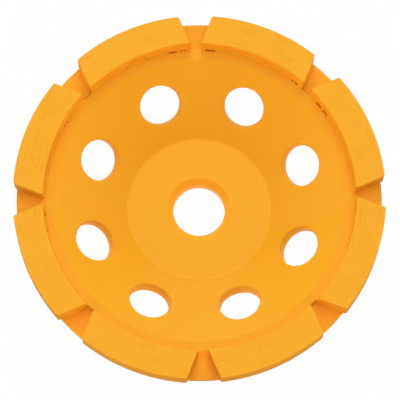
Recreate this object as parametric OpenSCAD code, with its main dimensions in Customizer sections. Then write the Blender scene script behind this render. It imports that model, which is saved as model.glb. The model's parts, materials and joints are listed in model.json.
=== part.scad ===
// Diamond cup wheel for grinding stone and concrete: a dished steel body with
// a row of air holes bored square to its cone, and a single row of arc-shaped
// diamond segments brazed onto the stepped rim.
// Millimetres. +Z runs up the bore. The hub's back face lies at z = 0 and the
// grinding face looks up.

/* [Segments] */
// Diameter of the wheel over its segments
wheel_d = 115; // [100:0.5:130]
// Number of diamond segments
segment_count = 8; // [5:1:10]
// Gap between neighbouring segments at their inner corners
segment_gap = 2.7; // [1.5:0.1:8]
// Radial width of a segment
segment_w = 9.4; // [5:0.1:12]
// Height of a segment from its seat to the grinding face
segment_h = 7; // [3:0.1:12]
// How far the segments reach out past the steel rim
segment_overhang = 0.9; // [0:0.1:3]
// Turn of the row of segments about the bore, in degrees
segment_turn = 1.3; // [-20:0.1:20]
// Rounding of a segment's long edges at the grinding face
segment_edge_r = 0.4; // [0.1:0.05:1]
// Bevel of a segment's upright outer corners
segment_corner = 0.4; // [0.1:0.05:1]
// Width of the braze joint between a segment and the shoulder
braze_gap = 0.2; // [0.05:0.05:0.5]

/* [Rim] */
// Height of the shoulder that the segments butt against
shoulder_h = 1.5; // [0.5:0.1:3]
// Radial width of the flat band between the shoulder and the cone
band_w = 3.1; // [1.5:0.1:8]
// Thickness of the rim under the segments
rim_t = 3.3; // [2.2:0.1:6]
// Bevel at the back of the rim's edge
rim_bevel = 1.8; // [0.5:0.1:2]
// Rounding of the rim's edge between the segments
rim_edge_r = 0.4; // [0.1:0.05:1]

/* [Cup] */
// Diameter of the flat hub floor inside the cup
hub_floor_d = 45; // [36:0.5:54]
// Thickness of the hub
hub_t = 6.2; // [4.5:0.1:10]
// Rise from the hub floor to the flat band
cup_rise = 13.3; // [8:0.1:18]
// Thickness of the conical wall, measured square to it
wall_t = 3.3; // [2:0.1:5]
// Fillet between the hub floor and the cone
floor_fillet_r = 1.5; // [0.3:0.1:3]
// Rounding where the cone turns into the flat band
band_edge_r = 2.2; // [0.3:0.1:3]
// Fillet and rounding on the hidden back of the body
back_edge_r = 1; // [0.3:0.1:2]

/* [Bore] */
// Diameter of the bore
bore_d = 16.2; // [12:0.1:23]
// Bevel round the bore on the hub floor
bore_bevel = 2; // [0.5:0.1:3]
// Bevel round the bore on the hub's back face
bore_back_bevel = 0.4; // [0.2:0.1:1]

/* [Air holes] */
// Number of air holes
hole_count = 8; // [4:1:10]
// Diameter of an air hole
hole_d = 12.8; // [6:0.1:16]
// Bevel round an air hole inside the cup
hole_bevel = 0.5; // [0.2:0.1:1.2]
// Turn of the row of air holes about the bore, in degrees
hole_turn = -1.7; // [-20:0.1:20]

/* [Hidden] */
$fn = 96;
paint = [0.96, 0.66, 0.16];

// Each segment's and each air hole's own error in angle, in degrees, because
// both rows were set by hand
segment_errors = [-0.2, -0.1, 0.1, 0.2, 0.1, 0, 0.2, 0.1];
hole_errors = [0.8, 0.2, 0.2, -0.3, -0.7, -2.1, 0.9, 0.6];

// How far each air hole was bored out of place up the cone
hole_slips = [0.2, 0.3, 0.2, 0.3, 0.8, 0.6, -0.1, -0.1];

// Corners that are worn further back than the rest: the segment's number, its
// end (0 clockwise, 1 anticlockwise) and the bevel there
worn_corners = [[1, 0, 0.6], [4, 1, 1.2]];

// Segments
outer_r = wheel_d / 2;
inner_r = outer_r - segment_w;
segment_pitch = 360 / segment_count;
segment_half = inner_r * sin(segment_pitch / 2 - asin(segment_gap / 2 / inner_r));

// Radii of the body, from the rim inwards
rim_r = outer_r - segment_overhang;
shoulder_r = inner_r - braze_gap;
band_r = shoulder_r - band_w;
floor_r = hub_floor_d / 2;
bore_r = bore_d / 2;

// Heights of the body, from the hub's back face up
floor_z = hub_t;
band_z = floor_z + cup_rise;
seat_z = band_z - shoulder_h;
rim_back_z = seat_z - rim_t;

// The cone, and where its back meets the hub's and the rim's backs
cone_angle = atan2(cup_rise, band_r - floor_r);
wall_drop = wall_t / cos(cone_angle);
boss_r = floor_r + (wall_drop - hub_t) / tan(cone_angle);
rim_back_r = floor_r + (rim_back_z + wall_drop - floor_z) / tan(cone_angle);

// Air holes sit half-way up the cone
hole_pitch = 360 / hole_count;
hole_r = (floor_r + band_r) / 2;
hole_z = (floor_z + band_z) / 2;

// How far a cutter runs past the surface it cuts
past = 4;

function unit(v) = v / norm(v);

// Points of the arc that rounds the corner at b, between a and c
function corner_arc(a, b, c, r, steps) =
    let (u = unit(a - b), v = unit(c - b), half = acos(u * v) / 2)
    let (centre = b + unit(u + v) * r / sin(half))
    let (from = b + u * r / tan(half) - centre, to = b + v * r / tan(half) - centre)
    let (start = atan2(from[1], from[0]), end = atan2(to[1], to[0]))
    let (sweep = (end - start + 540) % 360 - 180)
    [for (i = [0:steps]) centre + r * [cos(start + sweep * i / steps), sin(start + sweep * i / steps)]];

// A closed outline whose corners, given as [x, y, radius], are rounded
function rounded(corners, steps = 4) =
    let (n = len(corners), at = function(i) [corners[i % n][0], corners[i % n][1]])
    [for (i = [0:n - 1]) each corners[i][2] > 0
        ? corner_arc(at(i + n - 1), at(i), at(i + 1), corners[i][2], steps)
        : [at(i)]];

// Section of the steel body, from the bore's back edge round the outside
module body_section() {
    polygon(rounded([
        [bore_r + bore_back_bevel, 0, 0],
        [boss_r, 0, back_edge_r],
        [rim_back_r, rim_back_z, back_edge_r],
        [rim_r - rim_bevel, rim_back_z, 0],
        [rim_r, rim_back_z + rim_bevel, 0],
        [rim_r, seat_z, rim_edge_r],
        [shoulder_r, seat_z, 0],
        [shoulder_r, band_z, 0],
        [band_r, band_z, band_edge_r],
        [floor_r, floor_z, floor_fillet_r],
        [bore_r + bore_bevel, floor_z, 0],
        [bore_r, floor_z - bore_bevel, 0],
        [bore_r, bore_back_bevel, 0],
    ]));
}

// Drill for one air hole, square to the cone, with the bevel inside the cup
module hole_drill(i) {
    k = (i - 1) % len(hole_errors);
    angle = (i - 0.5) * hole_pitch + hole_turn + hole_errors[k];
    rotate([0, 0, angle]) translate([hole_r, 0, hole_z]) rotate([0, -cone_angle, 0])
    translate([hole_slips[k], 0, 0]) {
        translate([0, 0, -wall_t - past]) cylinder(h = wall_t + 2 * past, d = hole_d);
        translate([0, 0, -hole_bevel])
            cylinder(h = hole_bevel + past, r1 = hole_d / 2, r2 = hole_d / 2 + hole_bevel + past);
    }
}

module steel_body() {
    color(paint) difference() {
        rotate_extrude() body_section();
        for (i = [1:hole_count]) hole_drill(i);
    }
}

// Ring that all the segments are cut from, standing on the seat
module segment_ring() {
    rotate_extrude() polygon(rounded([
        [inner_r, seat_z, 0],
        [outer_r, seat_z, 0],
        [outer_r, seat_z + segment_h, segment_edge_r],
        [inner_r, seat_z + segment_h, segment_edge_r],
    ]));
}

// Bevel at one end of a segment
function corner_bevel(i, end) =
    let (worn = [for (c = worn_corners) if (c[0] == i && c[1] == end) c[2]])
    len(worn) > 0 ? worn[0] : segment_corner;

// Half of a segment's outline seen from above, from its end to its outer arc
function end_outline(bevel) =
    let (corner_a = asin(segment_half / outer_r), bevel_a = corner_a - asin(bevel / outer_r))
    let (foot = outer_r * [cos(bevel_a), sin(bevel_a)])
    [[0, segment_half], [outer_r * cos(corner_a) - bevel, segment_half], foot, [outer_r + past, foot[1]]];

function mirrored(points) = [for (i = [len(points) - 1:-1:0]) [points[i][0], -points[i][1]]];

module segment(i) {
    angle = (i - 0.5) * segment_pitch + segment_turn + segment_errors[(i - 1) % len(segment_errors)];
    color(paint) rotate([0, 0, angle]) intersection() {
        segment_ring();
        translate([0, 0, seat_z - past]) linear_extrude(height = segment_h + 2 * past)
            polygon(concat(end_outline(corner_bevel(i, 1)), mirrored(end_outline(corner_bevel(i, 0)))));
    }
}

steel_body();
for (i = [1:segment_count]) segment(i);
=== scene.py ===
"""Looks of the diamond cup wheel: its painted steel body, its diamond segments and their braze.

Every length in the classes is in millimetres, as on a drawing, and MM turns it into metres.
"""
import json
import logging
import math
from collections.abc import Iterable, Sequence
from dataclasses import dataclass, field
from enum import Enum

import bmesh
import bpy
from bmesh.types import BMEdge, BMesh, BMVert
from mathutils import Matrix, Vector, noise


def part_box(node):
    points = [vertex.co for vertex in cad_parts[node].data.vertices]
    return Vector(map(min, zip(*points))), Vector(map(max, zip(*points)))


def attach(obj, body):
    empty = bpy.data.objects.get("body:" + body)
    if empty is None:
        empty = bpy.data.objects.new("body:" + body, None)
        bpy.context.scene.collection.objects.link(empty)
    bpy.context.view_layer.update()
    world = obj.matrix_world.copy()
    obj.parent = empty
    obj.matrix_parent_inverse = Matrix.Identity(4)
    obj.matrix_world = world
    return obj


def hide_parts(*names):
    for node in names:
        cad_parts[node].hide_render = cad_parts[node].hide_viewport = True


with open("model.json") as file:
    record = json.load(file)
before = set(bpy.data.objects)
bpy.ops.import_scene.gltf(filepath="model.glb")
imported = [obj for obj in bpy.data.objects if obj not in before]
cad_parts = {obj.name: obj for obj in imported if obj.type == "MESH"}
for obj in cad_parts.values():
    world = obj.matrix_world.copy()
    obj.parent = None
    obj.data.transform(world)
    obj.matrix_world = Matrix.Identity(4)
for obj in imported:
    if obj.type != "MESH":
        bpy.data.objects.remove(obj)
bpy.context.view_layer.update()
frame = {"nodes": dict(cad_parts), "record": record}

MM = 0.001
FULL_TURN = 2 * math.pi
MERGE_DISTANCE = 0.001 * MM
PHOTO_SIDE_PX = 400

log = logging.getLogger("cup_wheel")


class ConeSide(Enum):
    """The two faces of the conical wall."""

    CUP = "inside the cup"
    BACK = "behind the cup"


class End(Enum):
    """The two ends of a segment, as seen from above: the value is the side of its middle."""

    CLOCKWISE = -1
    ANTICLOCKWISE = 1


def linear(hex_code: str) -> tuple[float, float, float, float]:
    """Turns an sRGB hex colour into the linear colour that a shader takes.

    Args:
        hex_code: Six hex digits, without a mark before them.

    Returns:
        Red, green, blue and an alpha of 1.
    """
    parts = [int(hex_code[i:i + 2], 16) / 255 for i in (0, 2, 4)]
    red, green, blue = [p / 12.92 if p <= 0.04045 else ((p + 0.055) / 1.055) ** 2.4 for p in parts]
    return red, green, blue, 1.0


def per_metre(size_mm: float) -> float:
    """Gives the scale at which a pattern's features are about size_mm across."""
    return 1 / (size_mm * MM)


def add_node(
    tree: bpy.types.NodeTree,
    kind: str,
    sockets: dict[str | int, object] | None = None,
    **settings: object,
) -> bpy.types.Node:
    """Adds a node, and sets or links its inputs.

    Args:
        tree: The node tree that takes the node.
        kind: The node's type.
        sockets: Each input's name or number, with its value or the output that feeds it.
        **settings: The node's own options, such as its operation.

    Returns:
        The new node.
    """
    node = tree.nodes.new(kind)
    for name, value in settings.items():
        setattr(node, name, value)
    for name, value in (sockets or {}).items():
        if isinstance(value, bpy.types.NodeSocket):
            tree.links.new(value, node.inputs[name])
        else:
            node.inputs[name].default_value = value
    return node


def polar(vert: BMVert) -> tuple[float, float]:
    """Gives a vertex's distance from the bore's axis in mm, and its angle in degrees, 0 to 360."""
    radius = math.hypot(vert.co.x, vert.co.y) / MM
    return radius, math.degrees(math.atan2(vert.co.y, vert.co.x)) % 360


def draw_outline(bm: BMesh, corners: Sequence[tuple[float, float, float]]) -> list[BMVert | BMEdge]:
    """Draws an open outline in the XZ plane and rounds its corners.

    Args:
        bm: The mesh that takes the outline.
        corners: Each corner's distance from the axis, its height and its rounding.

    Returns:
        The outline's vertices and edges.
    """
    old = set(bm.verts)
    verts = [bm.verts.new((r * MM, 0, z * MM)) for r, z, _ in corners]
    for pair in zip(verts, verts[1:]):
        bm.edges.new(pair)
    for vert, (_, _, radius) in zip(verts[1:-1], corners[1:-1]):
        if radius > 0:
            round_corner(bm, vert, radius)
    new = [v for v in bm.verts if v not in old]
    return new + list({e for v in new for e in v.link_edges})


def round_corner(bm: BMesh, vert: BMVert, radius: float, segments: int = 5) -> None:
    """Rounds one corner of an outline.

    Args:
        bm: The mesh that holds the outline.
        vert: The corner, where two edges meet.
        radius: The rounding's radius in mm.
        segments: The number of stretches in the rounding.
    """
    before, after = [(e.other_vert(vert).co - vert.co).normalized() for e in vert.link_edges]
    tangent = radius * MM / math.tan(before.angle(after) / 2)
    bmesh.ops.bevel(
        bm, geom=[vert], offset=tangent, offset_type="OFFSET", segments=segments, profile=0.5,
        affect="VERTICES", clamp_overlap=False, material=-1,
    )


def turn_outline(name: str, corners: Sequence[tuple[float, float, float]], steps: int) -> bpy.types.Mesh:
    """Spins an outline once round the Z axis, in a mesh of its own, which is the quick way.

    Args:
        name: The mesh's name.
        corners: The outline's corners, as draw_outline takes them.
        steps: The number of steps in the turn.

    Returns:
        The turned surface, open at the outline's two ends.
    """
    bm = bmesh.new()
    outline = draw_outline(bm, corners)
    bmesh.ops.spin(
        bm, geom=outline, cent=(0, 0, 0), axis=(0, 0, 1), angle=FULL_TURN, steps=steps,
        use_merge=True, use_duplicate=False,
    )
    mesh = bpy.data.meshes.new(name)
    bm.to_mesh(mesh)
    bm.free()
    return mesh


def finish_piece(
    bm: BMesh, name: str, material: bpy.types.Material, replaced: Sequence[str] = ()
) -> bpy.types.Object:
    """Makes a finished mesh a piece of the wheel.

    Args:
        bm: The mesh, which is freed.
        name: The piece's name.
        material: The piece's material.
        replaced: The CAD nodes that the piece stands for.

    Returns:
        The piece, riding on the wheel.
    """
    bmesh.ops.remove_doubles(bm, verts=bm.verts, dist=MERGE_DISTANCE)
    bmesh.ops.recalc_face_normals(bm, faces=bm.faces)
    mesh = bpy.data.meshes.new(name)
    bm.to_mesh(mesh)
    bm.free()
    mesh.shade_smooth()
    mesh.materials.append(material)
    piece = bpy.data.objects.new(name, mesh)
    bpy.context.scene.collection.objects.link(piece)
    normals = piece.modifiers.new("weighted_normals", "WEIGHTED_NORMAL")
    normals.keep_sharp = True
    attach(piece, "root")
    if replaced:
        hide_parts(*replaced)
    log.info("%s: %d vertices, %d faces", name, len(mesh.vertices), len(mesh.polygons))
    return piece


@dataclass(frozen=True)
class SprayedEnamel:
    """Air-dried enamel sprayed on turned steel: an even orange-yellow with a soft sheen.

    What it gives the eye is a faint orange peel, the last trace of the turning under the coat,
    slow changes of tone where the coat is thicker, and a few specks of dust caught in it. Two
    changes of tone are painted light, each between two heights: a paler tone on the hub's flat
    floor than on the slope above it, painted to make up for the light that the cup's walls keep
    from it, and a slightly greener one on the flat band, painted to offset the redder bounce light
    that the segments' walls throw on it.
    """

    colour: str = "F6A619"
    thin_colour: str = "F6AA1D"
    # painted light: a paler tone on the hub's floor, to make up for the light that the cup's walls keep from it
    hub_light_colour: str = "FFB323"
    hub_light_heights: tuple[float, float] = (6.36, 6.24)
    # painted light: a greener tone on the band that offsets the redder bounce light from the segments' walls
    band_light_colour: str = "F2A817"
    band_light_heights: tuple[float, float] = (19.15, 19.45)
    roughness: float = 0.5
    sheen: float = 0.16
    tone_patch: float = 26.0
    peel_size: float = 1.1
    peel_height: float = 0.012
    turning_pitch: float = 0.9
    turning_height: float = 0.004
    dust_spacing: float = 9.0
    dust_size: float = 0.28
    dust_height: float = 0.05

    def material(self, name: str) -> bpy.types.Material:
        """Makes the enamel as a material of that name."""
        material = bpy.data.materials.new(name)
        material.use_nodes = True
        tree = material.node_tree
        tree.nodes.clear()
        place = add_node(tree, "ShaderNodeTexCoord").outputs["Object"]
        shader = add_node(
            tree, "ShaderNodeBsdfPrincipled",
            {
                "Base Color": self.tone(tree, place),
                "Roughness": self.roughness,
                "Specular IOR Level": self.sheen,
                "Normal": self.relief(tree, place),
            },
        )
        add_node(tree, "ShaderNodeOutputMaterial", {"Surface": shader.outputs["BSDF"]})
        return material

    def tone(self, tree: bpy.types.NodeTree, place: bpy.types.NodeSocket) -> bpy.types.NodeSocket:
        """Gives the slow change between the coat's two tones, and the painted light on the hub's floor and on the band.
        """
        patches = add_node(
            tree, "ShaderNodeTexNoise",
            {"Vector": place, "Scale": per_metre(self.tone_patch), "Detail": 3.0},
        )
        mixed = add_node(
            tree, "ShaderNodeMix",
            {"Factor": patches.outputs["Fac"], "A": linear(self.colour), "B": linear(self.thin_colour)},
            data_type="RGBA",
        )
        height = add_node(tree, "ShaderNodeSeparateXYZ", {"Vector": place}).outputs["Z"]
        tone = mixed.outputs["Result"]
        # painted light, blended in between two heights: paler on the hub's floor, greener on the band
        for colour, heights in (
            (self.hub_light_colour, self.hub_light_heights), (self.band_light_colour, self.band_light_heights)
        ):
            share = add_node(
                tree, "ShaderNodeMapRange",
                {"Value": height, "From Min": heights[0] * MM, "From Max": heights[1] * MM},
            )
            painted_light_tone = add_node(
                tree, "ShaderNodeMix",
                {"Factor": share.outputs["Result"], "A": tone, "B": linear(colour)},
                data_type="RGBA",
            )
            tone = painted_light_tone.outputs["Result"]
        return tone

    def relief(self, tree: bpy.types.NodeTree, place: bpy.types.NodeSocket) -> bpy.types.NodeSocket:
        """Gives the normal that the turning, the orange peel and the dust leave."""
        flat = add_node(tree, "ShaderNodeVectorMath", {0: place, 1: (1, 1, 0)}, operation="MULTIPLY")
        radius = add_node(tree, "ShaderNodeVectorMath", {0: flat.outputs["Vector"]}, operation="LENGTH")
        turning = add_node(
            tree, "ShaderNodeTexNoise",
            {"W": radius.outputs["Value"], "Scale": per_metre(self.turning_pitch), "Detail": 2.0},
            noise_dimensions="1D",
        )
        turned = add_node(
            tree, "ShaderNodeBump",
            {"Height": turning.outputs["Fac"], "Distance": self.turning_height * MM},
        )
        peel = add_node(
            tree, "ShaderNodeTexNoise",
            {"Vector": place, "Scale": per_metre(self.peel_size), "Detail": 1.5},
        )
        peeled = add_node(
            tree, "ShaderNodeBump",
            {
                "Height": peel.outputs["Fac"],
                "Distance": self.peel_height * MM,
                "Normal": turned.outputs["Normal"],
            },
        )
        dust = add_node(
            tree, "ShaderNodeTexVoronoi", {"Vector": place, "Scale": per_metre(self.dust_spacing)}
        )
        speck = add_node(
            tree, "ShaderNodeMapRange",
            {
                "Value": dust.outputs["Distance"],
                "From Min": self.dust_size / self.dust_spacing,
                "From Max": 0.0,
            },
        )
        dusty = add_node(
            tree, "ShaderNodeBump",
            {
                "Height": speck.outputs["Result"],
                "Distance": self.dust_height * MM,
                "Normal": peeled.outputs["Normal"],
            },
        )
        return dusty.outputs["Normal"]


@dataclass(frozen=True)
class CoatedDiamondBond:
    """The same enamel over a sintered bond that was ground true before it was painted.

    What it gives the eye is a drier surface than the steel's: fine scratches that run round the
    wheel, small pits where grit has come out, with painted shade in them, and a grain that the
    coat doesn't fill.
    """

    colour: str = "F7A71C"
    thin_colour: str = "F9AC28"
    # painted shade: the darker colour inside the pits
    pit_shade_colour: str = "E8941A"
    roughness: float = 0.6
    sheen: float = 0.16
    tone_patch: float = 9.0
    grain_size: float = 0.35
    grain_height: float = 0.010
    scratch_colour: str = "EB9918"
    scratch_width: float = 0.36
    scratch_length: float = 6.5
    scratch_height: float = 0.045
    scratch_patch: float = 7.0
    pit_spacing: float = 3.4
    pit_size: float = 0.2
    pit_depth: float = 0.03

    def material(self, name: str) -> bpy.types.Material:
        """Makes the coated bond as a material of that name."""
        material = bpy.data.materials.new(name)
        material.use_nodes = True
        tree = material.node_tree
        tree.nodes.clear()
        place = add_node(tree, "ShaderNodeTexCoord").outputs["Object"]
        scratches = self.scratches(tree, place)
        pits = self.pits(tree, place)
        grain = add_node(
            tree, "ShaderNodeTexNoise",
            {"Vector": place, "Scale": per_metre(self.grain_size), "Detail": 2.0},
        )
        grained = add_node(
            tree, "ShaderNodeBump",
            {"Height": grain.outputs["Fac"], "Distance": self.grain_height * MM},
        )
        scratched = add_node(
            tree, "ShaderNodeBump",
            {
                "Height": scratches,
                "Distance": self.scratch_height * MM,
                "Normal": grained.outputs["Normal"],
            },
        )
        pitted = add_node(
            tree, "ShaderNodeBump",
            {"Height": pits, "Distance": self.pit_depth * MM, "Normal": scratched.outputs["Normal"]},
            invert=True,
        )
        shader = add_node(
            tree, "ShaderNodeBsdfPrincipled",
            {
                "Base Color": self.tone(tree, place, scratches, pits),
                "Roughness": self.roughness,
                "Specular IOR Level": self.sheen,
                "Normal": pitted.outputs["Normal"],
            },
        )
        add_node(tree, "ShaderNodeOutputMaterial", {"Surface": shader.outputs["BSDF"]})
        return material

    def scratches(self, tree: bpy.types.NodeTree, place: bpy.types.NodeSocket) -> bpy.types.NodeSocket:
        """Gives noise drawn out round the wheel, as grinding leaves it."""
        split = add_node(tree, "ShaderNodeSeparateXYZ", {"Vector": place})
        angle = add_node(
            tree, "ShaderNodeMath", {0: split.outputs["Y"], 1: split.outputs["X"]}, operation="ARCTAN2"
        )
        flat = add_node(tree, "ShaderNodeVectorMath", {0: place, 1: (1, 1, 0)}, operation="MULTIPLY")
        radius = add_node(tree, "ShaderNodeVectorMath", {0: flat.outputs["Vector"]}, operation="LENGTH")
        middle = 53 * MM
        along = add_node(
            tree, "ShaderNodeMath",
            {0: angle.outputs["Value"], 1: middle * per_metre(self.scratch_length)},
            operation="MULTIPLY",
        )
        across = add_node(
            tree, "ShaderNodeMath",
            {0: radius.outputs["Value"], 1: per_metre(self.scratch_width)},
            operation="MULTIPLY",
        )
        up = add_node(
            tree, "ShaderNodeMath",
            {0: split.outputs["Z"], 1: per_metre(self.scratch_width)},
            operation="MULTIPLY",
        )
        drawn_out = add_node(
            tree, "ShaderNodeCombineXYZ",
            {"X": along.outputs["Value"], "Y": across.outputs["Value"], "Z": up.outputs["Value"]},
        )
        lines = add_node(
            tree, "ShaderNodeTexNoise",
            {"Vector": drawn_out.outputs["Vector"], "Scale": 1.0, "Detail": 3.0, "Roughness": 0.7},
        )
        return lines.outputs["Fac"]

    def deep_scratches(
        self, tree: bpy.types.NodeTree, place: bpy.types.NodeSocket, scratches: bpy.types.NodeSocket
    ) -> bpy.types.NodeSocket:
        """Gives 1 in the deepest scratches, which lie in clusters, and 0 elsewhere."""
        deep = add_node(
            tree, "ShaderNodeMapRange", {"Value": scratches, "From Min": 0.53, "From Max": 0.65}
        )
        clusters = add_node(
            tree, "ShaderNodeTexNoise",
            {"Vector": place, "Scale": per_metre(self.scratch_patch), "Detail": 1.0},
        )
        inside = add_node(
            tree, "ShaderNodeMapRange",
            {"Value": clusters.outputs["Fac"], "From Min": 0.45, "From Max": 0.6},
        )
        both = add_node(
            tree, "ShaderNodeMath", {0: deep.outputs["Result"], 1: inside.outputs["Result"]},
            operation="MULTIPLY",
        )
        return both.outputs["Value"]

    def pits(self, tree: bpy.types.NodeTree, place: bpy.types.NodeSocket) -> bpy.types.NodeSocket:
        """Gives 1 inside the small pits and 0 elsewhere, with a soft edge."""
        cells = add_node(
            tree, "ShaderNodeTexVoronoi", {"Vector": place, "Scale": per_metre(self.pit_spacing)}
        )
        inside = add_node(
            tree, "ShaderNodeMapRange",
            {
                "Value": cells.outputs["Distance"],
                "From Min": self.pit_size / self.pit_spacing,
                "From Max": 0.4 * self.pit_size / self.pit_spacing,
            },
        )
        return inside.outputs["Result"]

    def tone(
        self,
        tree: bpy.types.NodeTree,
        place: bpy.types.NodeSocket,
        scratches: bpy.types.NodeSocket,
        pits: bpy.types.NodeSocket,
    ) -> bpy.types.NodeSocket:
        """Gives the coat's colour: two tones in patches and scratches, and painted shade in the pits."""
        patches = add_node(
            tree, "ShaderNodeTexNoise",
            {"Vector": place, "Scale": per_metre(self.tone_patch), "Detail": 3.0},
        )
        both = add_node(
            tree, "ShaderNodeMath", {0: patches.outputs["Fac"], 1: scratches}, operation="MULTIPLY"
        )
        doubled = add_node(
            tree, "ShaderNodeMath", {0: both.outputs["Value"], 1: 2.0}, operation="MULTIPLY",
            use_clamp=True,
        )
        coat = add_node(
            tree, "ShaderNodeMix",
            {
                "Factor": doubled.outputs["Value"],
                "A": linear(self.colour),
                "B": linear(self.thin_colour),
            },
            data_type="RGBA",
        )
        scored = add_node(
            tree, "ShaderNodeMix",
            {
                "Factor": self.deep_scratches(tree, place, scratches),
                "A": coat.outputs["Result"],
                "B": linear(self.scratch_colour),
            },
            data_type="RGBA",
        )
        # painted shade inside the pits
        pitted = add_node(
            tree, "ShaderNodeMix",
            {"Factor": pits, "A": scored.outputs["Result"], "B": linear(self.pit_shade_colour)},
            data_type="RGBA",
        )
        return pitted.outputs["Result"]


@dataclass(frozen=True)
class BrazeWithJointShade:
    """Braze filler that the spray barely reached: matt rust-brown braze, with near-black patches of painted shade for
    the dark inside the open joint.
    """

    colour: str = "A85818"
    # painted shade: the near-black of the open joint's dark inside
    joint_shade_colour: str = "1A0E08"
    joint_shade_patch: float = 1.6
    roughness: float = 0.85
    lump_size: float = 0.3
    lump_height: float = 0.05

    def material(self, name: str) -> bpy.types.Material:
        """Makes the filler as a material of that name."""
        material = bpy.data.materials.new(name)
        material.use_nodes = True
        tree = material.node_tree
        tree.nodes.clear()
        place = add_node(tree, "ShaderNodeTexCoord").outputs["Object"]
        # patches of painted shade, where the open joint shows dark
        shade_patches = add_node(
            tree, "ShaderNodeTexNoise", {"Vector": place, "Scale": per_metre(self.joint_shade_patch)}
        )
        joint_shade = add_node(
            tree, "ShaderNodeMapRange",
            {"Value": shade_patches.outputs["Fac"], "From Min": 0.5, "From Max": 0.6},
        )
        colour = add_node(
            tree, "ShaderNodeMix",
            {
                "Factor": joint_shade.outputs["Result"],
                "A": linear(self.colour),
                "B": linear(self.joint_shade_colour),
            },
            data_type="RGBA",
        )
        lumps = add_node(
            tree, "ShaderNodeTexNoise", {"Vector": place, "Scale": per_metre(self.lump_size)}
        )
        lumpy = add_node(
            tree, "ShaderNodeBump",
            {"Height": lumps.outputs["Fac"], "Distance": self.lump_height * MM},
        )
        shader = add_node(
            tree, "ShaderNodeBsdfPrincipled",
            {
                "Base Color": colour.outputs["Result"],
                "Roughness": self.roughness,
                "Normal": lumpy.outputs["Normal"],
            },
        )
        add_node(tree, "ShaderNodeOutputMaterial", {"Surface": shader.outputs["BSDF"]})
        return material


@dataclass(frozen=True)
class AirHole:
    """One air hole: its lining, with an eased edge at both ends, bored square to the cone."""

    angle: float
    centre_r: float
    centre_z: float
    cone_angle: float
    wall_t: float
    radius: float
    cup_edge_r: float = 0.7
    back_edge_r: float = 0.4

    def turned_lining(self, steps: int) -> bpy.types.Mesh:
        """Turns the lining about the hole's own axis, with its mouth at the cup's wall at height 0."""
        return turn_outline("lining", [
            (self.radius + self.cup_edge_r, 0, 0),
            (self.radius, 0, self.cup_edge_r),
            (self.radius, -self.wall_t, self.back_edge_r),
            (self.radius + self.back_edge_r, -self.wall_t, 0),
        ], steps)

    def cut(self, bm: BMesh, lining: bpy.types.Mesh) -> list[BMVert]:
        """Puts the lining in its place on the cone, bent as the cone is.

        Args:
            bm: The body's mesh.
            lining: The turned lining.

        Returns:
            The lining's vertices.
        """
        old = len(bm.verts)
        bm.from_mesh(lining)
        bm.verts.ensure_lookup_table()
        verts = bm.verts[old:]
        cone_bend = math.sin(self.cone_angle) / (2 * self.centre_r * MM)
        for vert in verts:
            vert.co.z += vert.co.y ** 2 * cone_bend
        place = (
            Matrix.Rotation(math.radians(self.angle), 4, "Z")
            @ Matrix.Translation((self.centre_r * MM, 0, self.centre_z * MM))
            @ Matrix.Rotation(-self.cone_angle, 4, "Y")
        )
        bmesh.ops.transform(bm, matrix=place, verts=verts)
        return verts


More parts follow.
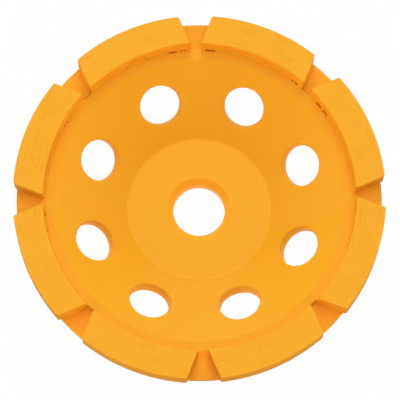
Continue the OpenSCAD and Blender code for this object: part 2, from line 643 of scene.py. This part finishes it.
@dataclass(frozen=True)
class SteelBody:
    """The steel body, turned from one piece: hub, cone, band, shoulder and rim, and its air holes."""

    hub_t: float
    band_z: float
    seat_z: float
    rim_r: float
    bore_r: float
    hole_places: tuple[tuple[float, float], ...]
    floor_r: float = 22.5
    band_r: float = 44.8
    shoulder_r: float = 47.9
    rim_t: float = 3.3
    rim_bevel: float = 1.8
    wall_t: float = 3.3
    bore_bevel: float = 2.0
    bore_back_bevel: float = 0.4
    hole_d: float = 12.8
    floor_fillet_r: float = 1.5
    band_edge_r: float = 2.2
    back_edge_r: float = 1.0
    rim_edge_r: float = 0.4
    shoulder_lip_r: float = 0.4
    shoulder_foot_r: float = 0.9
    bore_edge_r: float = 0.4
    web_margin: float = 0.8
    sector_steps: int = 48
    generator_steps: int = 24
    web_cuts: int = 5

    @property
    def cone_angle(self) -> float:
        """The cone's slope above the hub, in radians."""
        return math.atan2(self.band_z - self.hub_t, self.band_r - self.floor_r)

    @property
    def wall_drop(self) -> float:
        """How far the back of the cone lies straight below its front."""
        return self.wall_t / math.cos(self.cone_angle)

    def cone_z(self, radius: float, side: ConeSide) -> float:
        """Gives the height of one face of the cone at a distance from the axis, in mm."""
        front = self.hub_t + (radius - self.floor_r) * math.tan(self.cone_angle)
        return front if side is ConeSide.CUP else front - self.wall_drop

    def build(self, material: bpy.types.Material) -> bpy.types.Object:
        """Makes the body, in place of its CAD node."""
        bm = bmesh.new()
        low = {ConeSide.CUP: self.floor_r + self.web_margin, ConeSide.BACK: self.floor_r - 2}
        high = {ConeSide.CUP: self.band_r - self.web_margin, ConeSide.BACK: self.band_r - 2.2}
        steps = self.sector_steps * len(self.hole_places)
        bm.from_mesh(turn_outline("rim", self.rim_outline(high), steps))
        bm.from_mesh(turn_outline("hub", self.hub_outline(low), steps))
        borders = [e for e in bm.edges if e.is_boundary]
        sector = 360 / len(self.hole_places)
        for side in ConeSide:
            ends = self.ends_of_generators(borders, side, sector)
            lines = [bm.edges.new(pair) for pair in ends]
            bmesh.ops.subdivide_edges(bm, edges=lines, cuts=self.generator_steps - 1)
        borders = [e for e in bm.edges if e.is_boundary or e.is_wire]
        hole_steps = 2 * (self.sector_steps + self.generator_steps)
        holes = self.air_holes()
        lining = holes[0].turned_lining(hole_steps)
        spokes = []
        for i, hole in enumerate(holes):
            rims = list({e for v in hole.cut(bm, lining) for e in v.link_edges if e.is_boundary})
            for side in ConeSide:
                spokes += self.bridge_sector(bm, side, rims, borders, i * sector, (i + 1) * sector)
        self.refine_cone(bm, spokes)
        return finish_piece(bm, "dished_body", material, ["steel_body"])

    def air_holes(self) -> list[AirHole]:
        """Puts the air holes' mouths on the cup's wall, square above the middles of the holes."""
        holes = []
        for angle, middle_r in self.hole_places:
            mouth_r = middle_r - self.wall_t * math.sin(self.cone_angle) / 2
            mouth_z = self.cone_z(mouth_r, ConeSide.CUP)
            holes.append(
                AirHole(angle, mouth_r, mouth_z, self.cone_angle, self.wall_t, self.hole_d / 2)
            )
        return holes

    def rim_outline(self, high: dict[ConeSide, float]) -> list[tuple[float, float, float]]:
        """Lists the section's corners from the cup's wall over the rim to the back of the cone."""
        rim_back_z = self.seat_z - self.rim_t
        rim_back_r = self.floor_r + (rim_back_z + self.wall_drop - self.hub_t) / math.tan(self.cone_angle)
        return [
            (high[ConeSide.CUP], self.cone_z(high[ConeSide.CUP], ConeSide.CUP), 0),
            (self.band_r, self.band_z, self.band_edge_r),
            (self.shoulder_r, self.band_z, self.shoulder_lip_r),
            (self.shoulder_r, self.seat_z, self.shoulder_foot_r),
            (self.rim_r, self.seat_z, self.rim_edge_r),
            (self.rim_r, rim_back_z + self.rim_bevel, self.rim_edge_r),
            (self.rim_r - self.rim_bevel, rim_back_z, self.rim_edge_r),
            (rim_back_r, rim_back_z, self.back_edge_r),
            (high[ConeSide.BACK], self.cone_z(high[ConeSide.BACK], ConeSide.BACK), 0),
        ]

    def hub_outline(self, low: dict[ConeSide, float]) -> list[tuple[float, float, float]]:
        """Lists the section's corners from the foot of the cup's wall through the bore to the back."""
        boss_r = self.floor_r + (self.wall_drop - self.hub_t) / math.tan(self.cone_angle)
        return [
            (low[ConeSide.CUP], self.cone_z(low[ConeSide.CUP], ConeSide.CUP), 0),
            (self.floor_r, self.hub_t, self.floor_fillet_r),
            (self.bore_r + self.bore_bevel, self.hub_t, self.bore_edge_r),
            (self.bore_r, self.hub_t - self.bore_bevel, self.bore_edge_r),
            (self.bore_r, self.bore_back_bevel, self.bore_back_bevel / 3),
            (self.bore_r + self.bore_back_bevel, 0, self.bore_back_bevel / 3),
            (boss_r, 0, self.back_edge_r),
            (low[ConeSide.BACK], self.cone_z(low[ConeSide.BACK], ConeSide.BACK), 0),
        ]

    def ends_of_generators(
        self, borders: Sequence[BMEdge], side: ConeSide, sector: float
    ) -> list[tuple[BMVert, BMVert]]:
        """Finds the ends of the straight lines that part the cone between its air holes.

        Args:
            borders: The open edges of the hub and of the rim.
            side: The face of the cone.
            sector: The angle between two lines, in degrees.

        Returns:
            The lower and the upper end of each line.
        """
        verts = {v for e in borders if self.on_cone(e, side) for v in e.verts}
        at_line = [v for v in verts if (polar(v)[1] + 0.01) % sector < 0.02]
        at_line.sort(key=lambda v: (round(polar(v)[1] / sector) % len(self.hole_places), polar(v)[0]))
        return list(zip(at_line[::2], at_line[1::2]))

    def bridge_sector(
        self,
        bm: BMesh,
        side: ConeSide,
        rims: Sequence[BMEdge],
        borders: Sequence[BMEdge],
        start: float,
        end: float,
    ) -> list[BMEdge]:
        """Fills one face of the cone between two straight lines, round its air hole.

        Args:
            bm: The body's mesh.
            side: The face of the cone.
            rims: The open edges of the air hole's lining.
            borders: The open edges of the hub and of the rim, and the straight lines.
            start: The sector's first side, in degrees.
            end: The sector's last side, in degrees.

        Returns:
            The edges that run from the hole to the sector's border.
        """
        hole_rim = [e for e in rims if self.on_cone(e, side)]
        border = [e for e in borders if self.in_sector(e, start, end) and self.on_cone(e, side)]
        rim_verts = {v for e in hole_rim for v in e.verts}
        web = bmesh.ops.bridge_loops(bm, edges=hole_rim + border)
        return [e for e in web["edges"] if (e.verts[0] in rim_verts) != (e.verts[1] in rim_verts)]

    def refine_cone(self, bm: BMesh, spokes: list[BMEdge]) -> None:
        """Divides the filled faces into rings round each hole, and lays them on the cone."""
        rims = {v for e in spokes for v in e.verts}
        rings = bmesh.ops.subdivide_edges(bm, edges=spokes, cuts=self.web_cuts, use_grid_fill=True)
        inner = {v for v in rings["geom_inner"] if isinstance(v, BMVert)}
        for vert in {v for v in rims if v.is_valid} | inner:
            radius = polar(vert)[0]
            heights = [self.cone_z(radius, side) * MM for side in ConeSide]
            vert.co.z = min(heights, key=lambda z: abs(z - vert.co.z))

    def on_cone(self, edge: BMEdge, side: ConeSide) -> bool:
        """Tells whether an edge lies on one face of the cone, give or take the bend of a hole's rim."""
        near = 0.12
        return all(abs(v.co.z / MM - self.cone_z(polar(v)[0], side)) < near for v in edge.verts)

    @staticmethod
    def in_sector(edge: BMEdge, start: float, end: float) -> bool:
        """Tells whether an edge lies between two angles, ends included."""
        middle = (start + end) / 2
        reach = (end - start) / 2 + 0.01
        return all(abs((polar(v)[1] - middle + 180) % 360 - 180) <= reach for v in edge.verts)


@dataclass(frozen=True)
class DiamondSegment:
    """One diamond segment: an arc-shaped block with parallel ends, worn a little at its edges."""

    name: str
    angle: float
    half_length: float
    seat_z: float
    face_z: float
    outer_r: float
    width: float = 9.4
    edge_r: float = 0.2
    inner_corner: float = 0.55
    corner: float = 0.4
    worn_corners: dict[End, float] = field(default_factory=dict)
    lean: tuple[float, float, float] = (0.0, 0.0, 0.0)
    lean_foot: float = 2.0
    grid: float = 1.2
    edge_wear: float = 0.03
    face_wear: float = 0.02
    inner_wear: float = 0.32
    inner_wear_reach: float = 1.0
    wear_size: float = 1.6

    @property
    def inner_r(self) -> float:
        """Distance of the inner wall from the axis."""
        return self.outer_r - self.width

    def build(self, material: bpy.types.Material) -> bpy.types.Object:
        """Makes the segment, in place of its CAD node."""
        bm = bmesh.new()
        height = self.face_z - self.seat_z
        size = Matrix.Diagonal((self.width * MM, 2 * self.half_length * MM, height * MM, 1))
        middle = Matrix.Translation((self.width / 2 * MM, 0, (self.seat_z + height / 2) * MM))
        bmesh.ops.create_cube(bm, size=1, matrix=middle @ size)
        self.ease_edges(bm)
        self.divide(bm)
        self.bend_round(bm)
        self.wear(bm)
        turn = Matrix.Rotation(math.radians(self.angle), 4, "Z")
        bmesh.ops.transform(bm, matrix=turn, verts=bm.verts)
        return finish_piece(bm, f"diamond_{self.name}", material, [self.name])

    def ease_edges(self, bm: BMesh) -> None:
        """Rounds the upright corners, then the edges of the grinding face."""
        for end in End:
            upright = self.edges_at(bm, x=self.width, y=end.value * self.half_length)
            size = self.worn_corners.get(end, self.corner)
            self.bevel(bm, upright, size, 3)
            upright = self.edges_at(bm, x=0, y=end.value * self.half_length)
            self.bevel(bm, upright, self.inner_corner, 3)
        top = [e for e in bm.edges if all(abs(v.co.z / MM - self.face_z) < 0.001 for v in e.verts)]
        self.bevel(bm, top, self.edge_r, 4)

    @staticmethod
    def bevel(bm: BMesh, edges: list[BMEdge], size: float, segments: int) -> None:
        """Rounds edges by a size in mm."""
        bmesh.ops.bevel(
            bm, geom=edges, offset=size * MM, offset_type="OFFSET", segments=segments, profile=0.5,
            affect="EDGES", clamp_overlap=True, material=-1,
        )

    @staticmethod
    def edges_at(bm: BMesh, x: float, y: float) -> list[BMEdge]:
        """Finds the upright edges at a place in the block, in mm."""
        place = Vector((x, y))
        return [e for e in bm.edges if all((v.co.xy / MM - place).length < 0.001 for v in e.verts)]

    def divide(self, bm: BMesh) -> None:
        """Cuts the block's faces into a grid that is fine enough to bend and to wear."""
        height = self.face_z - self.seat_z
        spans = (
            (Vector((1, 0, 0)), 0.0, self.width),
            (Vector((0, 1, 0)), -self.half_length, self.half_length),
            (Vector((0, 0, 1)), self.seat_z, self.seat_z + height),
        )
        for direction, start, end in spans:
            count = round((end - start) / self.grid)
            for i in range(1, count):
                at = start + (end - start) * i / count
                bmesh.ops.bisect_plane(
                    bm, geom=bm.verts[:] + bm.edges[:] + bm.faces[:], plane_co=direction * at * MM,
                    plane_no=direction,
                )
        bmesh.ops.subdivide_edges(bm, edges=bm.edges[:], cuts=1, use_grid_fill=True)

    def bend_round(self, bm: BMesh) -> None:
        """Moves the straight block onto its arc, with its ends left parallel and its inner wall leaning."""
        for vert in bm.verts:
            y = vert.co.y / MM
            inner = math.sqrt(self.inner_r ** 2 - y ** 2) + self.lean_at(y, vert.co.z / MM)
            outer = math.sqrt(self.outer_r ** 2 - y ** 2)
            vert.co.x = (inner + vert.co.x / MM * (outer - inner) / self.width) * MM

    def lean_at(self, y: float, z: float) -> float:
        """Gives how far the inner wall leans outwards at a place, in mm.

        Args:
            y: Distance along the segment from its middle.
            z: Height.

        Returns:
            The lean, which is stated at the face's clockwise end, middle and anticlockwise end.
        """
        clockwise, middle, anticlockwise = self.lean
        end = anticlockwise if y > 0 else clockwise
        at_face = middle + (end - middle) * (y / self.half_length) ** 2
        foot = self.seat_z + self.lean_foot
        return at_face * max(0.0, (z - foot) / (self.face_z - foot))

    def wear(self, bm: BMesh) -> None:
        """Takes a little off the surface, and more off the edges, as grinding and handling do."""
        bm.normal_update()
        shift = Vector((self.angle, 0, 0))
        moves = []
        for vert in bm.verts:
            if vert.co.z / MM < self.seat_z + self.edge_r:
                continue
            turned = max(f.normal.angle(vert.normal) for f in vert.link_faces)
            depth = self.edge_wear if turned > math.radians(5) else self.face_wear
            from_edge = max(polar(vert)[0] - self.inner_r, self.face_z - vert.co.z / MM)
            depth += self.inner_wear * max(0.0, 1 - from_edge / self.inner_wear_reach) ** 2
            rough = noise.noise(vert.co / (self.wear_size * MM) + shift)
            moves.append((vert, vert.normal * depth * MM * (0.5 + 0.5 * rough)))
        for vert, move in moves:
            vert.co -= move


@dataclass(frozen=True)
class BrazeBead:
    """The painted bead of braze at a segment's foot, with the places where it left the joint open."""

    name: str
    angle: float
    half_length: float
    inner_r: float
    shoulder_r: float
    band_z: float
    seat_z: float
    rim_r: float
    openings: tuple[tuple[float, float], ...] = ()
    height: float = 0.5
    reach: float = 0.45
    end_share: float = 0.5
    cover: float = 0.08
    lumpiness: float = 0.15
    sunk: float = 0.15
    lap: float = 0.04
    plug_angle: float = 1.2
    plug_lap: float = 0.3
    arc_steps: int = 5
    step: float = 0.35
    lump_size: float = 1.3

    def build(self, painted: bpy.types.Material, joint_shade: bpy.types.Material) -> list[bpy.types.Object]:
        """Makes the bead along the inner wall and both ends, and the filler down in the joint."""
        bm = bmesh.new()
        reach_angle = math.degrees(math.asin(self.half_length / self.inner_r)) - 0.2
        stops = [-reach_angle]
        for at, width in sorted(self.openings):
            half = math.degrees(width / 2 / self.inner_r)
            stops += [at - half, at + half]
        stops.append(reach_angle)
        for start, end in zip(stops[::2], stops[1::2]):
            section = [(self.inner_r + self.lap - a, self.band_z + z) for a, z in self.section()]
            self.make_lumpy(self.spin_stretch(bm, section, start, end))
        for start, end in ((-reach_angle, self.plug_angle - reach_angle), (reach_angle - self.plug_angle, reach_angle)):
            plug = self.joint_section(self.seat_z - self.cover, self.band_z - self.lap, self.plug_lap)
            self.spin_stretch(bm, plug, start, end)
        for end in End:
            self.end_bead(bm, end)
        turn = Matrix.Rotation(math.radians(self.angle), 4, "Z")
        bmesh.ops.transform(bm, matrix=turn, verts=bm.verts)
        bead = finish_piece(bm, f"braze_bead_{self.name}", painted)
        return [bead, self.build_filler(reach_angle, joint_shade)]

    def spin_stretch(
        self, bm: BMesh, corners: Sequence[tuple[float, float]], start: float, end: float
    ) -> list[BMVert]:
        """Sweeps a closed section round the axis, along the joint.

        Args:
            bm: The mesh that takes the stretch.
            corners: The section's corners, as distance from the axis and height in mm.
            start: Where the stretch starts, in degrees from the segment's middle.
            end: Where it ends.

        Returns:
            The stretch's vertices.
        """
        turn = Matrix.Rotation(math.radians(start), 3, "Z")
        return self.sweep(bm, [turn @ Vector((r, 0, z)) for r, z in corners], turn=end - start)

    def sweep(
        self, bm: BMesh, outline: Sequence[Vector], turn: float = 0.0, slide: float = 0.0
    ) -> list[BMVert]:
        """Sweeps a closed outline, and closes the two ends.

        Args:
            bm: The mesh that takes the sweep.
            outline: The outline's corners where it starts, in mm.
            turn: How far it turns about the axis, in degrees.
            slide: How far it slides out along X, in mm.

        Returns:
            The sweep's vertices.
        """
        old = set(bm.verts)
        verts = [bm.verts.new(corner * MM) for corner in outline]
        edges = [bm.edges.new(pair) for pair in zip(verts, verts[1:] + verts[:1])]
        steps = max(2, round((slide + math.radians(turn) * self.inner_r) / self.step))
        bmesh.ops.spin(
            bm, geom=verts + edges, cent=(0, 0, 0), axis=(0, 0, 1), dvec=(slide / steps * MM, 0, 0),
            angle=math.radians(turn), steps=steps, use_merge=False, use_duplicate=False,
        )
        new = [v for v in bm.verts if v not in old]
        open_edges = {e for v in new for e in v.link_edges if e.is_boundary}
        bmesh.ops.holes_fill(bm, edges=list(open_edges), sides=len(outline))
        return new

    def joint_section(self, low: float, high: float, lap: float) -> list[tuple[float, float]]:
        """Lists the corners of the joint's section between two heights, with a lap into both walls."""
        inner, outer = self.shoulder_r - lap, self.inner_r + lap
        return [(outer, low), (outer, high), (inner, high), (inner, low)]

    def section(self) -> list[tuple[float, float]]:
        """Lists the bead's corners: a hollow arc from the wall down to the floor, and its hidden foot.

        Returns:
            Each corner's distance from the wall and its height over the floor, in mm.
        """
        angles = [math.pi / 2 * i / self.arc_steps for i in range(self.arc_steps + 1)]
        arc = [
            (self.reach * (1 - math.cos(a)), self.height * (1 - math.sin(a)) - 0.01) for a in angles
        ]
        return arc + [(self.reach + self.cover, -self.cover), (0.0, -self.cover)]

    def make_lumpy(self, verts: Iterable[BMVert]) -> None:
        """Lets the bead's skin rise and sink along its run."""
        shift = Vector((0, 0, self.angle))
        corner = Vector((self.inner_r, self.band_z))
        for vert in verts:
            radius, _ = polar(vert)
            height = vert.co.z / MM
            if height <= self.band_z:
                continue
            rise = 1 + self.lumpiness * noise.noise(vert.co / (self.lump_size * MM) + shift)
            around = vert.co.xy.normalized()
            radius = corner.x + (radius - corner.x) * (rise if radius < corner.x else 1)
            vert.co.xy = around * radius * MM
            vert.co.z = (corner.y + (height - corner.y) * rise) * MM

    def end_bead(self, bm: BMesh, end: End) -> None:
        """Lays the bead along the foot of one end, on the seat."""
        y = end.value * self.half_length
        start, stop = math.sqrt(self.shoulder_r ** 2 - y ** 2), math.sqrt(self.rim_r ** 2 - y ** 2) - 0.7
        section = [
            Vector((start, y + end.value * (a * self.end_share - self.lap), self.seat_z + z * self.end_share))
            for a, z in self.section()
        ]
        self.sweep(bm, section, slide=stop - start)

    def build_filler(self, reach_angle: float, joint_shade: bpy.types.Material) -> bpy.types.Object:
        """Makes the filler that fills the lower part of the joint behind the bead, in a dark material that is partly
        painted shade where the joint lies open.
        """
        bm = bmesh.new()
        section = self.joint_section(self.seat_z + 0.05, self.band_z - self.sunk, 0.0)
        inside = reach_angle - self.plug_angle / 2
        verts = self.spin_stretch(bm, section, -inside, inside)
        turn = Matrix.Rotation(math.radians(self.angle), 4, "Z")
        bmesh.ops.transform(bm, matrix=turn, verts=verts)
        return finish_piece(bm, f"braze_filler_{self.name}", joint_shade)


@dataclass(frozen=True)
class Softbox:
    """A square softbox that points at the wheel.

    Its level is the share of a colour's own brightness that it gives to a face turned to it, its
    tilt is from straight above, and it leans clockwise from the top of the picture by around. Its
    warmth is its red beside its green and blue.
    """

    name: str
    level: float
    tilt: float
    around: float
    warmth: float
    side: float = 900.0
    distance: float = 1400.0

    def hang(self) -> None:
        """Hangs the softbox in its place."""
        light = bpy.data.lights.new(self.name, "AREA")
        light.size = self.side * MM
        light.energy = self.level * (math.pi * self.distance * MM) ** 2
        light.color = (self.warmth, 1.0, 1.0)
        lamp = bpy.data.objects.new(self.name, light)
        bpy.context.scene.collection.objects.link(lamp)
        lean = Matrix.Rotation(math.radians(-self.around), 4, "Z")
        tilt = Matrix.Rotation(math.radians(-self.tilt), 4, "X")
        lamp.matrix_world = lean @ tilt @ Matrix.Translation((0, 0, self.distance * MM))
        lamp.visible_camera = False


@dataclass(frozen=True)
class UnderLight:
    """A disc of light in the table, masked to the wheel, that lights the walls of its holes.

    Its level is that of a white surface in full light, and it ends inside the rim, so that
    nothing of it reaches the outside.
    """

    level: float = 0.95
    radius: float = 50.0
    height: float = 0.3

    def switch_on(self) -> None:
        """Places the disc just above the table, pointing up."""
        light = bpy.data.lights.new("under_light", "AREA")
        light.shape = "DISK"
        light.size = 2 * self.radius * MM
        light.energy = self.level * (math.pi * self.radius * MM) ** 2
        lamp = bpy.data.objects.new("under_light", light)
        bpy.context.scene.collection.objects.link(lamp)
        upwards = Matrix.Rotation(math.pi, 4, "X")
        lamp.matrix_world = Matrix.Translation((0, 0, self.height * MM)) @ upwards
        lamp.visible_camera = False


@dataclass(frozen=True)
class Studio:
    """A pale floor, a white background, soft lamps, and the camera that took the photograph."""

    camera_distance: float = 986.3
    camera_tilt: float = 13.44
    camera_yaw: float = -0.35
    aim_x: float = -0.18
    aim_y: float = 1.53
    focal_px: float = 3206.0
    sensor_mm: float = 36.0
    floor_side: float = 6000.0
    floor_clearance: float = 0.05
    floor_glow: float = 0.93
    floor_level: float = 1.04
    floor_colour: str = "A8A8A8"
    sky: float = 0.09
    lamps: tuple[Softbox, ...] = (
        Softbox("key_softbox", 0.42, 65.0, 0.0, 0.80),
        Softbox("upper_softbox", 0.21, 35.0, 0.0, 0.80),
        Softbox("right_softbox", 0.45, 75.0, 90.0, 0.89),
        Softbox("front_softbox", 0.49, 78.0, 180.0, 1.14),
        Softbox("left_softbox", 0.48, 75.0, 270.0, 0.89),
        Softbox("overhead_softbox", 0.39, 0.0, 0.0, 1.12),
    )

    def build(self, face_z: float) -> None:
        """Sets up the floor, the world, the lamps and the camera.

        Args:
            face_z: Height of the grinding face, which the camera was solved against.
        """
        self.add_floor()
        self.add_world()
        for lamp in self.lamps:
            lamp.hang()
        UnderLight().switch_on()
        self.add_camera(face_z)
        bpy.context.scene.view_settings.view_transform = "Standard"

    def add_floor(self) -> None:
        """Makes the pale floor, which shows almost white and keeps a faint shadow."""
        bm = bmesh.new()
        below = Matrix.Translation((0, 0, -self.floor_clearance * MM))
        bmesh.ops.create_grid(
            bm, x_segments=8, y_segments=8, size=self.floor_side / 2 * MM, matrix=below
        )
        mesh = bpy.data.meshes.new("floor")
        bm.to_mesh(mesh)
        bm.free()
        floor = bpy.data.objects.new("floor", mesh)
        bpy.context.scene.collection.objects.link(floor)
        material = bpy.data.materials.new("pale_floor")
        material.use_nodes = True
        tree = material.node_tree
        tree.nodes.clear()
        matt = add_node(tree, "ShaderNodeBsdfDiffuse", {"Color": linear(self.floor_colour)})
        white = add_node(
            tree, "ShaderNodeEmission", {"Color": (1, 1, 1, 1), "Strength": self.floor_level}
        )
        share = add_node(
            tree, "ShaderNodeMath", {0: self.seen_by_camera(tree), 1: self.floor_glow},
            operation="MULTIPLY",
        )
        mixed = add_node(
            tree, "ShaderNodeMixShader",
            {0: share.outputs["Value"], 1: matt.outputs["BSDF"], 2: white.outputs["Emission"]},
        )
        add_node(tree, "ShaderNodeOutputMaterial", {"Surface": mixed.outputs["Shader"]})
        mesh.materials.append(material)

    def add_world(self) -> None:
        """Makes a white world that lights the wheel softly and shows as plain white."""
        world = bpy.data.worlds.new("studio")
        world.use_nodes = True
        tree = world.node_tree
        tree.nodes.clear()
        level = add_node(
            tree, "ShaderNodeMapRange",
            {"Value": self.seen_by_camera(tree), "To Min": self.sky, "To Max": 1.0},
        )
        light = add_node(
            tree, "ShaderNodeBackground", {"Color": (1, 1, 1, 1), "Strength": level.outputs["Result"]}
        )
        add_node(tree, "ShaderNodeOutputWorld", {"Surface": light.outputs["Background"]})
        bpy.context.scene.world = world

    @staticmethod
    def seen_by_camera(tree: bpy.types.NodeTree) -> bpy.types.NodeSocket:
        """Gives 1 for what the camera sees straight, and 0 for the light that it sends out."""
        return add_node(tree, "ShaderNodeLightPath").outputs["Is Camera Ray"]

    def add_camera(self, face_z: float) -> None:
        """Places the camera as solved from the photograph."""
        data = bpy.data.cameras.new("photo_camera")
        data.sensor_width = self.sensor_mm
        data.lens = self.focal_px * self.sensor_mm / PHOTO_SIDE_PX
        data.clip_start = 10 * MM
        data.clip_end = 2 * self.floor_side * MM
        camera = bpy.data.objects.new("photo_camera", data)
        bpy.context.scene.collection.objects.link(camera)
        turn = (
            Matrix.Rotation(math.radians(self.camera_yaw), 4, "Y")
            @ Matrix.Rotation(math.radians(self.camera_tilt), 4, "X")
        )
        back = Vector((-self.aim_x, -self.aim_y, self.camera_distance)) * MM
        middle = Matrix.Translation((0, 0, face_z * MM))
        camera.matrix_world = middle @ turn @ Matrix.Translation(back)
        bpy.context.scene.camera = camera


@dataclass
class CupWheel:
    """The whole wheel, with its sizes taken from the frame."""

    worn: dict[str, dict[End, float]] = field(default_factory=lambda: {
        "segment_1": {End.CLOCKWISE: 0.6},
        "segment_4": {End.ANTICLOCKWISE: 1.2},
    })
    open_joints: dict[str, tuple[tuple[float, float], ...]] = field(default_factory=lambda: {
        "segment_1": ((11.7, 2.0), (15.4, 2.2)),
        "segment_2": ((-17.8, 1.0), (-16.0, 0.5), (17.2, 3.0)),
        "segment_3": ((-18.7, 0.3), (-17.3, 0.4), (-13.9, 2.6), (-3.8, 0.35), (4.3, 0.35)),
        "segment_4": ((-9.9, 0.4), (-8.3, 0.3)),
        "segment_5": ((-18.0, 0.6), (-11.6, 0.35)),
    })

    leans: dict[str, tuple[float, float, float]] = field(default_factory=lambda: {
        "segment_1": (0.15, 0.0, 0.3),
        "segment_2": (0.4, 0.15, 0.4),
        "segment_3": (0.8, 0.0, 0.0),
        "segment_4": (0.4, 0.0, 0.0),
        "segment_5": (0.1, 0.0, 0.0),
        "segment_6": (0.2, 0.0, 0.35),
        "segment_7": (0.0, 0.0, 0.1),
        "segment_8": (0.6, 0.25, 0.5),
    })

    def segment_names(self) -> list[str]:
        """Lists the segments' nodes in order."""
        return sorted(n for n in frame["nodes"] if n.startswith("segment_"))

    def build(self) -> None:
        """Builds the body, the segments and their braze."""
        body_low, body_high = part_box("steel_body")
        record = frame["record"]
        mounts = {m["name"]: m for m in record["mounts"]}
        seat_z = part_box("segment_1")[0].z / MM
        enamel = SprayedEnamel().material("sprayed_enamel")
        coated_bond = CoatedDiamondBond().material("coated_diamond_bond")
        # the braze filler's material, with painted shade for the open joints
        joint_shade = BrazeWithJointShade().material("braze_with_joint_shade")
        body = SteelBody(
            hub_t=mounts["hub_floor"]["pos_m"][2] / MM,
            band_z=body_high.z / MM,
            seat_z=seat_z,
            rim_r=(body_high.x - body_low.x) / 2 / MM,
            bore_r=mounts["bore"]["dims"]["r_mm"],
            hole_places=self.hole_places(record["physics"]["openings"]),
        )
        body.build(enamel)
        for name in self.segment_names():
            angle, half_length, outer_r, face_z = self.measure_segment(name)
            segment = DiamondSegment(
                name=name, angle=angle, half_length=half_length, seat_z=seat_z, face_z=face_z,
                outer_r=outer_r, worn_corners=self.worn.get(name, {}),
                lean=self.leans.get(name, (0.0, 0.0, 0.0)),
            )
            segment.build(coated_bond)
            bead = BrazeBead(
                name=name, angle=angle, half_length=half_length, inner_r=segment.inner_r,
                shoulder_r=body.shoulder_r, band_z=body.band_z, seat_z=seat_z, rim_r=body.rim_r,
                openings=self.open_joints.get(name, ()),
            )
            bead.build(enamel, joint_shade)

    @staticmethod
    def hole_places(openings: Sequence[dict]) -> tuple[tuple[float, float], ...]:
        """Reads the middles of the air holes from the boxes of their openings.

        Args:
            openings: The record's openings.

        Returns:
            Each hole's angle in degrees and its distance from the bore's axis in mm, in turn.
        """
        places = []
        for opening in openings:
            if opening["name"].startswith("air_hole_"):
                low, high = [Vector(corner) for corner in opening["box_m"]]
                middle = (low + high).xy / 2
                angle = math.degrees(math.atan2(middle.y, middle.x)) % 360
                places.append((angle, middle.length / MM))
        return tuple(sorted(places))

    @staticmethod
    def measure_segment(name: str) -> tuple[float, float, float, float]:
        """Measures a segment's CAD node.

        Args:
            name: The node's name.

        Returns:
            The angle of its middle in degrees, half its length, its outer radius and the height
            of its grinding face, in mm.
        """
        points = [v.co / MM for v in frame["nodes"][name].data.vertices]
        rough = sum(points, Vector()) / len(points)
        around = rough.xy.normalized()
        turns = [math.degrees(around.angle_signed(p.xy)) for p in points]
        angle = math.degrees(math.atan2(around.y, around.x)) - (min(turns) + max(turns)) / 2
        straight = Matrix.Rotation(math.radians(-angle), 3, "Z")
        half_length = max(abs((straight @ p).y) for p in points)
        return angle, half_length, max(p.xy.length for p in points), max(p.z for p in points)


def main() -> None:
    """Builds the wheel and its studio."""
    logging.basicConfig(level=logging.INFO, format="%(name)s: %(message)s")
    wheel = CupWheel()
    wheel.build()
    face_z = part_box("segment_1")[1].z / MM
    Studio().build(face_z)


if __name__ == "__main__":
    main()
